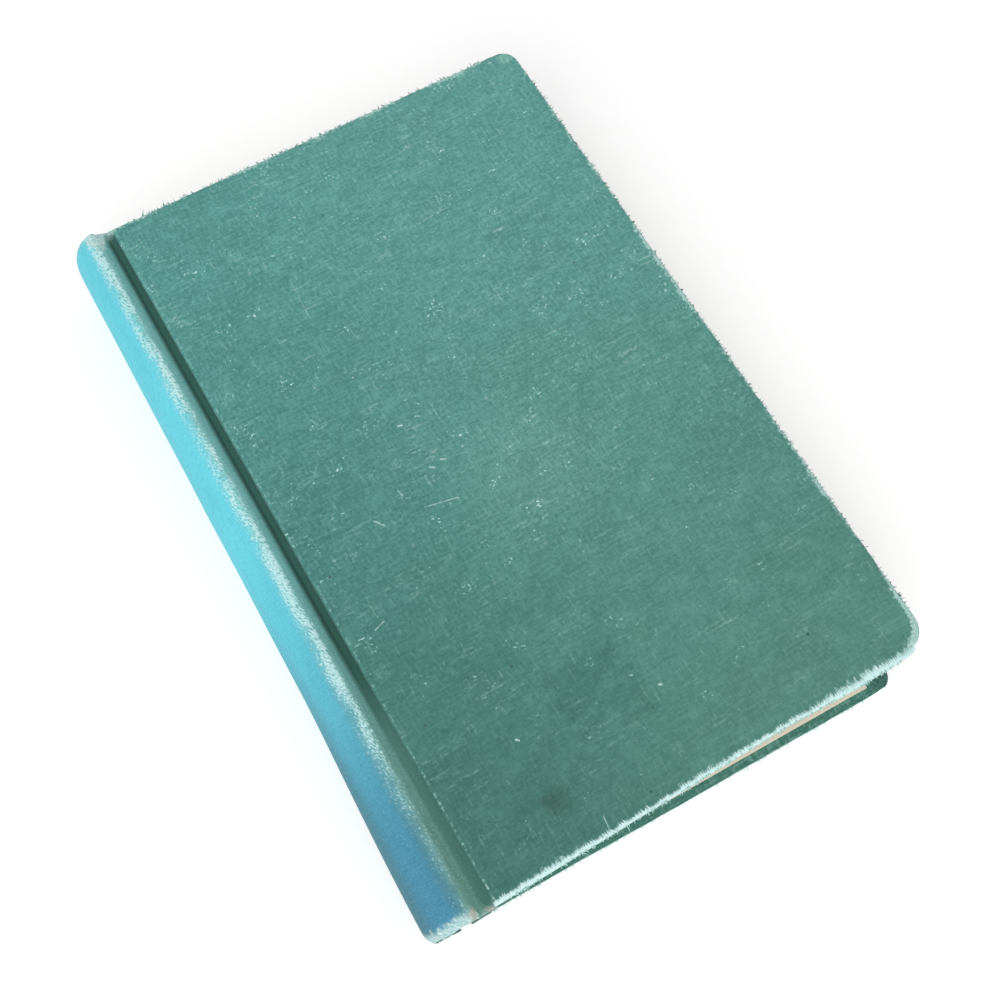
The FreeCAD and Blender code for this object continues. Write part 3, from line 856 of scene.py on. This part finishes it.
def cover_cloth_material():
    """Faded, rubbed and flecked book cloth over a board."""
    look = bpy.context.scene.book_cloth
    r = Recipe("cover_bookcloth")
    place = r.attribute("cloth", "Vector")
    across, along, depth = r.parts(place)
    rim = r.attribute("rim")
    head = r.band(along, -112, 100)
    fore = r.band(r.plus(across, r.times(r.noise(place, (0.03, 0.012, 0)), 30.0)), 20, 100)
    low_part = r.mix(fore, look.tail_by_spine, look.tail_by_fore)
    faded = r.mix(head, low_part, r.mix(fore, look.head_by_spine, look.head_by_fore))
    blotch = r.noise(place, (0.028, 0.035, 0.03), detail=4.0, rough=0.6)
    colour = r.mix(r.band(blotch, 0.35, 0.62), r.tinted(faded, (0.90, 0.90, 0.88)), faded)
    pale = r.tinted(faded, (1.42, 1.26, 1.26))
    dark = r.tinted(faded, (0.66, 0.74, 0.73))
    bands = r.noise(place, (0.012, 0.22, 0.1), detail=2.0, shift=(3, 0, 0))
    cloud = r.noise(place, (0.13, 0.17, 0.15), detail=6.0, rough=0.68, shift=(11, 3, 0))
    colour = r.layered(
        colour,
        (bands, 0.55, 0.75, 0.25, pale),
        (bands, 0.45, 0.25, 0.25, dark),
        (cloud, 0.50, 0.72, 0.75, pale),
        (cloud, 0.48, 0.28, 0.75, dark),
    )
    weft = r.noise(place, (0.21, 1.35, 1), detail=2.0)
    warp = r.noise(place, (1.35, 0.32, 1), detail=2.0, shift=(7, 2, 0))
    grain = r.noise(place, (0.9, 1.1, 1.0), detail=3.0, rough=0.7)
    weave = r.plus(r.times(weft, 0.5), r.times(warp, 0.5))
    plain = r.band(along, -100, 10, 0.62, 1.0)
    for pattern, low, high, amount, tone in (
        (weave, 0.50, 0.62, 0.6, pale),
        (weave, 0.49, 0.38, 0.62, dark),
        (grain, 0.51, 0.70, 0.65, pale),
        (grain, 0.49, 0.32, 0.7, dark),
    ):
        colour = r.mix(r.times(r.band(pattern, low, high, 0, amount), plain), colour, tone)
    line_where = r.band(r.noise(place, (0.06, 0.1, 0.1), detail=2.0, shift=(9, 4, 0)), 0.48, 0.66)
    line = r.band(r.noise(place, (0.10, 0.85, 1), detail=3.0, rough=0.6, shift=(1, 5, 0)), 0.52, 0.70)
    broken = r.band(grain, 0.38, 0.6)
    colour = r.mix(r.times(line, line_where, broken, plain, 0.38), colour, look.rubbed)
    down = r.band(r.noise(place, (1.1, 0.13, 1), detail=3.0, rough=0.6, shift=(2, 8, 0)), 0.57, 0.72)
    colour = r.mix(r.times(down, broken, plain, 0.25), colour, look.rubbed)
    fine = r.noise(place, (1.0, 1.25, 0.5), detail=2.0, rough=0.55, shift=(3, 6, 0))
    thick = r.band(along, -100, 10, 0.06, 0.0)
    for scale, low, strength, shift in ((0.10, 0.545, 0.85, 5), (0.30, 0.60, 0.95, 9)):
        where = r.noise(place, (scale, scale * 1.4, 0.1), detail=3.0, rough=0.6, shift=(shift, 1, 0))
        where = r.band(r.minus(where, thick), low, low + 0.14)
        colour = r.mix(r.times(r.band(fine, 0.58, 0.68), where, strength), colour, (0.60, 0.95, 0.90))
    distance, chance = r.spots(place, (0.11, 0.12, 0.1), (2, 8, 0))
    speck = r.times(r.band(distance, 0.07, 0.02), r.band(chance, 0.6, 0.65), 0.5)
    colour = r.mix(speck, colour, (0.05, 0.06, 0.05))
    on_front = r.attribute("front")
    for centre, reach, strength, tint in STAINS:
        away = r.node("ShaderNodeVectorMath", operation="DISTANCE")
        r.feed(away.inputs[0], place)
        away.inputs[1].default_value = (*centre, 0)
        away = r.plus(away.outputs["Value"], r.times(r.minus(cloud, 0.5), 2.2 * reach))
        stain = r.times(r.band(away, reach, reach * 0.3), strength, on_front)
        colour = r.mix(stain, colour, r.tinted(colour, tint))
    for start, end, width, strength in SCRATCHES:
        mark = segment_mark(r, across, along, start, end, 0.75 * width)
        mark = r.times(mark, on_front, r.band(grain, 0.3, 0.5), strength)
        colour = r.mix(mark, colour, look.rubbed)
    edge_noise = r.noise(place, (0.8, 0.8, 0.5), detail=3.0, rough=0.6, shift=(4, 4, 0))
    patchy = r.noise(place, (0.06, 0.06, 0.05), detail=2.0, shift=(8, 3, 0))
    edge_reach = r.plus(rim, r.times(r.minus(edge_noise, 0.5), -4.5), r.times(r.minus(patchy, 0.5), -5.0))
    near_corner = r.band(r.minus(across, along), 222, 234, 0, 2.6)
    rubbed = r.band(r.minus(edge_reach, near_corner), 1.3, 0.1)
    jitter = r.times(r.noise(place, (0.7, 0.4, 0), detail=1.0), 2.4)
    tooth = r.times(r.math("PINGPONG", r.plus(across, jitter), 0.34), 2.9)
    tall = r.band(r.noise(place, (0.5, 0.1, 0), detail=3.0, shift=(3, 3, 0)), 0.35, 0.7, 0.1, 0.9)
    low = r.band(r.noise(place, (0.05, 0.0, 0), detail=2.0, shift=(1, 9, 0)), 0.35, 0.65, 0.1, 0.9)
    comb = r.minus(r.plus(along, 105.0), r.plus(low, r.times(tooth, tall)))
    comb = r.times(r.band(comb, 0.45, -0.35), r.band(depth, 2.9, 1.6), r.band(on_front, 0, 1, 0.25, 1.0))
    threads = r.noise(place, (2.2, 2.2, 0.3), detail=1.0)
    bright = [min(1.0, c * 1.28) for c in look.rubbed]
    rub_colour = r.mix(r.band(threads, 0.35, 0.6), r.mix(0.5, faded, look.rubbed), look.rubbed)
    comb_colour = r.mix(r.band(threads, 0.3, 0.55), look.rubbed, bright)
    colour = r.mix(r.band(rim, 2.6, 0.3, 0, 0.4), colour, dark)
    colour = r.mix(r.times(rubbed, 0.85), colour, rub_colour)
    colour = r.mix(r.times(comb, 0.95), colour, comb_colour)
    groove_edge = r.band(r.math("ABSOLUTE", r.minus(across, 1.9)), 0.34, 0.1)
    dashes = r.band(r.noise(place, (0.1, 0.6, 0.5), detail=5.0, rough=0.75), 0.48, 0.62)
    dashes = r.times(groove_edge, dashes, r.band(along, -60, -85, 0.3, 0.6))
    colour = r.mix(dashes, colour, look.rubbed)
    inner = r.layered(
        look.unfaded,
        (grain, 0.38, 0.62, 1.0, r.mix(0.55, look.unfaded, faded)),
        (weave, 0.52, 0.62, 0.5, r.mix(0.25, faded, look.rubbed)),
        (r.plus(across, along), 18, 26, 0.45, (0.03, 0.075, 0.062)),
    )
    colour = r.mix(r.band(depth, 3.0, 3.3), colour, inner)
    back_edge = r.times(r.band(depth, 3.3, 2.2), r.band(along, -101, -104), r.minus(1.0, on_front))
    back_edge = r.times(back_edge, r.band(edge_noise, 0.36, 0.58), 0.85)
    colour = r.mix(back_edge, colour, comb_colour)
    r.finish_cloth(colour, weave, grain)


def spine_cloth_material():
    """The sun-faded spine, its worn crests and the shaded grooves."""
    look = bpy.context.scene.book_cloth
    r = Recipe("spine_bookcloth")
    place = r.attribute("cloth", "Vector")
    across, along, depth = r.parts(place)
    sunk = r.attribute("sunk")
    crest = spine_across()[0] - 0.65
    from_crest = r.minus(r.math("ABSOLUTE", across), crest)
    sun = r.mix(r.band(along, -100, 10), look.spine_tail, look.spine_head)
    far_side = r.times(r.band(across, 11, 2), r.band(along, 0, -80), 0.75)
    sun = r.mix(far_side, sun, (0.045, 0.20, 0.24))
    blotch = r.noise(place, (0.10, 0.035, 0.1), detail=3.0, rough=0.6)
    sun = r.mix(r.band(blotch, 0.42, 0.7, 0, 0.35), sun, r.tinted(sun, (0.72, 0.80, 0.80)))
    weft = r.noise(place, (3.2, 0.5, 1), detail=1.0)
    warp = r.noise(place, (0.5, 3.2, 1), detail=1.0, shift=(7, 2, 0))
    grain = r.noise(place, (1.7, 1.7, 1.7), detail=3.0, rough=0.65)
    weave = r.plus(r.times(weft, 0.5), r.times(warp, 0.5))
    pale, dark = r.mix(0.22, sun, (0.55, 0.95, 0.97)), r.tinted(sun, (0.66, 0.76, 0.78))
    colour = r.layered(sun, (grain, 0.5, 0.7, 0.5, pale), (weave, 0.48, 0.3, 0.6, dark))
    at_tail = r.band(along, 10, -95)
    olive = r.mix(at_tail, look.ridge, (0.135, 0.310, 0.255))
    stripes = r.noise(place, (2.4, 0.14, 2.4), detail=3.0, rough=0.6, shift=(3, 3, 0))
    ridge = r.mix(r.band(stripes, 0.40, 0.62), r.tinted(olive, (0.82, 0.84, 0.83)), olive)
    ridge = r.mix(r.band(grain, 0.5, 0.72, 0, 0.5), ridge, r.mix(0.3, olive, look.rubbed))
    edge_noise = r.noise(place, (0.5, 0.5, 0.5), detail=4.0, rough=0.7, shift=(1, 1, 0))
    wavy = r.plus(from_crest, r.times(r.minus(edge_noise, 0.5), 4.5))
    shaded = r.times(r.band(wavy, -5.5, -2.5), at_tail, 0.7)
    colour = r.mix(shaded, colour, (0.055, 0.20, 0.24))
    colour = r.mix(r.band(wavy, -2.6, 0.4), colour, ridge)
    cross_threads = r.noise(place, (0.35, 2.4, 0.5), detail=2.0, shift=(5, 3, 0))
    colour = r.mix(r.band(cross_threads, 0.48, 0.32, 0, 0.35), colour, r.tinted(colour, (0.6, 0.7, 0.7)))
    beyond = r.times(r.band(from_crest, 2.4, 3.6), at_tail)
    colour = r.mix(beyond, colour, (0.062, 0.180, 0.140))
    slanted = r.node("ShaderNodeCombineXYZ")
    r.feed(slanted.inputs[0], r.plus(across, r.times(along, 0.45)))
    r.feed(slanted.inputs[1], along)
    threads = r.noise(slanted.outputs[0], (2.3, 1.0, 1.0), detail=3.0, rough=0.66, shift=(2, 7, 0))
    patches = r.noise(place, (0.25, 0.09, 0.2), detail=3.0, rough=0.6, shift=(8, 2, 0))
    band = r.times(r.band(from_crest, -5.2, -1.3), r.band(from_crest, 1.6, -0.2))
    band = r.times(band, r.band(patches, 0.30, 0.58, 0.35, 1.0), r.band(along, -95, -35, 0.32, 1.0))
    lit = r.band(r.plus(threads, r.times(band, 0.28)), 0.62, 0.84)
    colour = r.mix(r.times(band, 0.42), colour, (0.34, 0.74, 0.76))
    colour = r.mix(r.times(r.band(threads, 0.46, 0.34), band, 0.55), colour, look.unfaded)
    colour = r.mix(r.times(lit, 0.8), colour, (0.66, 0.94, 0.94))
    # Painted shade that deepens with the groove, mixed with brown dirt at the head end.
    groove_shade_and_dirt = r.mix(r.band(along, 103, 105.5), (0.024, 0.10, 0.072), (0.10, 0.075, 0.045))
    colour = r.mix(r.band(sunk, 1.2, 2.6, 0, 0.9), colour, groove_shade_and_dirt)
    ends = r.plus(r.math("ABSOLUTE", along), r.times(r.minus(edge_noise, 0.5), 5.0))
    bare = r.mix(r.band(threads, 0.4, 0.6), (0.34, 0.62, 0.60), (0.74, 0.92, 0.89))
    brown = r.times(r.band(from_crest, -2.2, -0.6), r.band(edge_noise, 0.42, 0.56))
    brown = r.times(brown, r.band(along, 50, -50, 0.15, 1.0), 0.8)
    bare = r.mix(brown, bare, (0.50, 0.44, 0.38))
    bare_from = r.band(along, -50, 50, r.band(from_crest, 0, 2, 101.4, 103.7), 103.4)
    on_ridge = r.times(r.band(from_crest, -4, -0.5), r.band(along, 0, 50, 0, 4.5))
    bare_from = r.minus(bare_from, r.times(on_ridge, r.band(sunk, 1.8, 0.6)))
    ends = r.band(r.minus(ends, bare_from), 0, 2.4, 0, 0.85)
    colour = r.mix(ends, colour, bare)
    colour = r.mix(r.band(depth, 0.5, 0.85), colour, look.unfaded)
    r.finish_cloth(colour, weave, grain)


def thread_material():
    """Loose cotton threads, some dyed through and some rubbed pale."""
    look = bpy.context.scene.book_cloth
    r = Recipe("loose_threads")
    place = r.object_place()
    each = r.noise(place, (0.9, 0.9, 0.9), detail=2.0, rough=0.6)
    twist = r.noise(place, (6, 6, 6), detail=1.0)
    at_tail = r.band(r.parts(place)[1], -98, -103, 0, 0.2)
    colour = r.mix(r.band(r.plus(each, at_tail), 0.42, 0.58), look.tail_by_fore, look.rubbed)
    r.finish(colour, r.band(each, 0.3, 0.7, 0.8, 0.9), r.bump(twist, 0.03 * MM, 0.5), sheen=0.1)


def leaves_material():
    """Cut edges of cheap paper, a hair's breadth each, toned a little with age."""
    look = bpy.context.scene.book_paper
    r = Recipe("leaves")
    place = r.object_place()
    fine = r.noise(place, (0.035, 0.035, 6.5), detail=2.0, rough=0.6)
    coarse = r.noise(place, (0.02, 0.02, 1.2), detail=2.0, shift=(4, 0, 0))
    tone = r.noise(place, (0.03, 0.03, 0.05), detail=3.0)
    levels = ((fine, 0.50, 0.32, 0.75), (coarse, 0.45, 0.3, 0.5), (tone, 0.5, 0.72, 0.25))
    colour = r.layered(look.leaf_edge, *((*level, look.leaf_shade) for level in levels))
    normal = r.bump(fine, 0.15 * MM, 0.8)
    r.finish(colour, r.band(tone, 0.3, 0.7, 0.85, 0.93), normal, specular=0.2)


def endpaper_material():
    """Toned endpaper with soft mottling and a few foxing spots."""
    look = bpy.context.scene.book_paper
    r = Recipe("endpaper")
    place = r.object_place()
    mottle = r.noise(place, (0.05, 0.05, 0.05), detail=5.0, rough=0.6)
    fibre = r.noise(place, (1.5, 0.6, 1.5), detail=3.0, rough=0.6)
    toned = r.mix(0.09, look.endpaper, look.foxing)
    colour = r.layered(
        look.endpaper, (mottle, 0.4, 0.7, 0.5, toned), (fibre, 0.4, 0.65, 0.2, (0.95, 0.91, 0.86))
    )
    distance, chance = r.spots(place, (0.09, 0.09, 0.09))
    fox = r.times(r.band(distance, 0.16, 0.03), r.band(chance, 0.72, 0.8), 0.6)
    colour = r.mix(fox, colour, look.foxing)
    normal = r.bump(fibre, 0.05 * MM, 0.5)
    r.finish(colour, r.band(mottle, 0.3, 0.7, 0.8, 0.9), normal, specular=0.25)


def card_material(name, shade, factors):
    """Pulp card or cloth that is hidden in the binding, with fibres and darker flecks."""
    r = Recipe(name)
    place = r.object_place()
    fibre = r.noise(place, factors, detail=4.0, rough=0.65)
    distance, chance = r.spots(place, (0.8, 0.8, 0.8))
    dark, pale, brown = ([min(1, c * share) for c in shade] for share in (0.8, 1.15, 0.45))
    colour = r.mix(r.band(fibre, 0.35, 0.65), dark, pale)
    fleck = r.times(r.band(distance, 0.25, 0.1), r.band(chance, 0.7, 0.8), 0.4)
    colour = r.mix(fleck, colour, brown)
    r.finish(colour, r.band(fibre, 0.3, 0.7, 0.82, 0.92), r.bump(fibre, 0.06 * MM, 0.6), specular=0.2)


def floor_material():
    """A pale floor that looks white to the camera and still shows the book's shadow."""
    r = Recipe("floor")
    place = r.node("ShaderNodeTexCoord").outputs["Object"]
    r.finish(r.mix(r.noise(place, (3, 3, 3)), (0.86, 0.86, 0.86), (0.88, 0.88, 0.88)), 0.9, specular=0.1)
    rays = r.node("ShaderNodeLightPath")
    seen = r.math("MAXIMUM", rays.outputs["Is Camera Ray"], rays.outputs["Is Glossy Ray"])
    r.surface.inputs["Emission Color"].default_value = (1, 1, 1, 1)
    r.feed(r.surface.inputs["Emission Strength"], r.times(seen, 0.33))


# Operators


BEND_START, BEND_END = -1.4 * MM, 1.2 * MM
CAMERA_PLACE = Vector((-79.134, -117.84, 359.167)) * MM
CAMERA_AXES = (
    (0.867164, -0.496043, 0.044359),
    (0.450818, 0.819701, 0.353346),
    (-0.211636, -0.286411, 0.934441),
)
LAMP_PLACE, LAMP_SIDE = Vector((-0.62, -0.60, 1.06)), 1.3


def across_joint(piece, side):
    """Lets a piece bend between the leaves and a cover as the cover opens."""
    start, end = (cover_frame(side) @ Vector((x, 0, 0)) for x in (BEND_START, BEND_END))
    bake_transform(piece, "book_block", f"{side}_cover", start=start, end=end)


class BOOK_OT_materials(bpy.types.Operator):
    """Makes the cloth, paper and card materials, and gives the hidden layers of the binding theirs"""

    bl_idname = "book.materials"
    bl_label = "Cloth, paper and card"

    def execute(self, context):
        cover_cloth_material()
        spine_cloth_material()
        thread_material()
        leaves_material()
        endpaper_material()
        card = tuple(context.scene.book_paper.card)
        card_material("greyboard", card, (0.6, 0.9, 3.0))
        card_material("spine_card", [c * 1.05 for c in card], (0.4, 0.1, 0.4))
        card_material("mull", (0.60, 0.55, 0.44), (2.5, 2.5, 2.5))
        card_material("lining_paper", (0.42, 0.31, 0.19), (0.5, 0.2, 0.5))
        worn_by = {"spine_mull": "mull", "spine_lining": "lining_paper"}
        for side in SIDES:
            worn_by |= {f"{side}_{sheet}": "endpaper" for sheet in ("flyleaf", "pastedown")}
            worn_by[f"{side}_board"] = "greyboard"
        for node, material in worn_by.items():
            mesh = frame["nodes"][node].data
            mesh.materials.clear()
            mesh.materials.append(bpy.data.materials[material])
        return {"FINISHED"}


class BOOK_OT_covers(bpy.types.Operator):
    """Wraps both boards in worn book cloth"""

    bl_idname = "book.covers"
    bl_label = "Cover cloth"

    def execute(self, context):
        for side in SIDES:
            piece = cover_bookcloth(side)
            mark = piece.data.attributes.new("front", "FLOAT", "POINT")
            mark.data.foreach_set("value", [float(side == "front")] * len(piece.data.vertices))
            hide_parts(f"{side}_cover_cloth")
            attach(piece, f"{side}_cover")
            threads = loose_threads(side)
            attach(threads, f"{side}_cover")
        return {"FINISHED"}


class BOOK_OT_spine(bpy.types.Operator):
    """Lays the cloth over the hollow spine"""

    bl_idname = "book.spine"
    bl_label = "Spine cloth"

    def execute(self, context):
        for piece, node, slot in (
            (spine_bookcloth(), "spine_cloth", "spine_cloth"),
            (spine_card(), "spine_inlay", "card"),
        ):
            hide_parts(node)
            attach(piece, "book_block")
        return {"FINISHED"}


class BOOK_OT_joints(bpy.types.Operator):
    """Lays the cloth in both grooves, where it bends as a cover opens"""

    bl_idname = "book.joints"
    bl_label = "Groove cloth"

    def execute(self, context):
        for side in SIDES:
            piece = joint_bookcloth(side)
            across_joint(piece, side)
        return {"FINISHED"}


class BOOK_OT_leaves(bpy.types.Operator):
    """Makes the sewn leaves, rounded and backed"""

    bl_idname = "book.leaves"
    bl_label = "Leaves"

    def execute(self, context):
        piece = leaves()
        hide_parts("text_block")
        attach(piece, "book_block")
        return {"FINISHED"}


class BOOK_OT_endpapers(bpy.types.Operator):
    """Makes the fold of each endpaper, which bends as its cover opens"""

    bl_idname = "book.endpapers"
    bl_label = "Endpaper folds"

    def execute(self, context):
        for side in SIDES:
            piece = endpaper_fold(side)
            across_joint(piece, side)
        return {"FINISHED"}


class BOOK_OT_stage(bpy.types.Operator):
    """Sets the camera, the pale floor and the soft light"""

    bl_idname = "book.stage"
    bl_label = "Stage"

    def execute(self, context):
        scene, look = context.scene, context.scene.book_stage
        camera = bpy.data.objects.new("camera", bpy.data.cameras.new("camera"))
        camera.data.lens = look.lens
        camera.data.sensor_width = 36
        camera.data.clip_start, camera.data.clip_end = 0.01, 50
        turned = Matrix(CAMERA_AXES).transposed().to_4x4()
        camera.matrix_world = Matrix.Translation(CAMERA_PLACE) @ turned
        scene.collection.objects.link(camera)
        scene.camera = camera
        bm = bmesh.new()
        bmesh.ops.create_grid(bm, x_segments=8, y_segments=8, size=look.floor_size / 2)
        bmesh.ops.translate(bm, vec=(0, 0, -0.2 * MM), verts=bm.verts)
        floor_material()
        floor = new_piece("floor", bm, "floor")
        lamp = bpy.data.lights.new("soft_lamp", "AREA")
        lamp.shape, lamp.size, lamp.energy = "SQUARE", LAMP_SIDE, look.lamp
        light = bpy.data.objects.new("soft_lamp", lamp)
        light.location = LAMP_PLACE
        light.rotation_mode = "QUATERNION"
        light.rotation_quaternion = (-light.location).to_track_quat("-Z", "Y")
        scene.collection.objects.link(light)
        world = bpy.data.worlds.new("studio")
        world.use_nodes = True
        nodes, links = world.node_tree.nodes, world.node_tree.links
        background = nodes["Background"]
        background.inputs["Color"].default_value = (1, 1, 1, 1)
        rays = nodes.new("ShaderNodeLightPath")
        strength = nodes.new("ShaderNodeMapRange")
        strength.inputs["To Min"].default_value, strength.inputs["To Max"].default_value = look.sky, 1.0
        links.new(rays.outputs["Is Camera Ray"], strength.inputs["Value"])
        links.new(strength.outputs["Result"], background.inputs["Strength"])
        scene.world = world
        scene.view_settings.view_transform = "Standard"
        return {"FINISHED"}


class BOOK_PT_panel(bpy.types.Panel):
    """Lists the steps that build the book"""

    bl_idname = "BOOK_PT_panel"
    bl_label = "Old hardback book"
    bl_space_type = "VIEW_3D"
    bl_region_type = "UI"
    bl_category = "Book"

    def draw(self, context):
        for group in GROUPS:
            box = self.layout.box()
            settings = getattr(context.scene, group)
            for key in settings.__annotations__:
                box.prop(settings, key)
        for step in STEPS:
            self.layout.operator(step.bl_idname)


STEPS = (
    BOOK_OT_stage,
    BOOK_OT_materials,
    BOOK_OT_covers,
    BOOK_OT_spine,
    BOOK_OT_joints,
    BOOK_OT_leaves,
    BOOK_OT_endpapers,
)
GROUPS = {
    "book_sizes": BookSizes,
    "book_cloth": ClothLook,
    "book_paper": PaperLook,
    "book_stage": StageLook,
}


def register():
    for kind in (*GROUPS.values(), *STEPS, BOOK_PT_panel):
        bpy.utils.register_class(kind)
    for name, kind in GROUPS.items():
        setattr(bpy.types.Scene, name, PointerProperty(type=kind))


def unregister():
    for name in GROUPS:
        delattr(bpy.types.Scene, name)
    for kind in (BOOK_PT_panel, *reversed(STEPS), *reversed(GROUPS.values())):
        bpy.utils.unregister_class(kind)


def main():
    register()
    for step in STEPS:
        group, name = step.bl_idname.split(".")
        getattr(getattr(bpy.ops, group), name)()


if __name__ == "__main__":
    main()
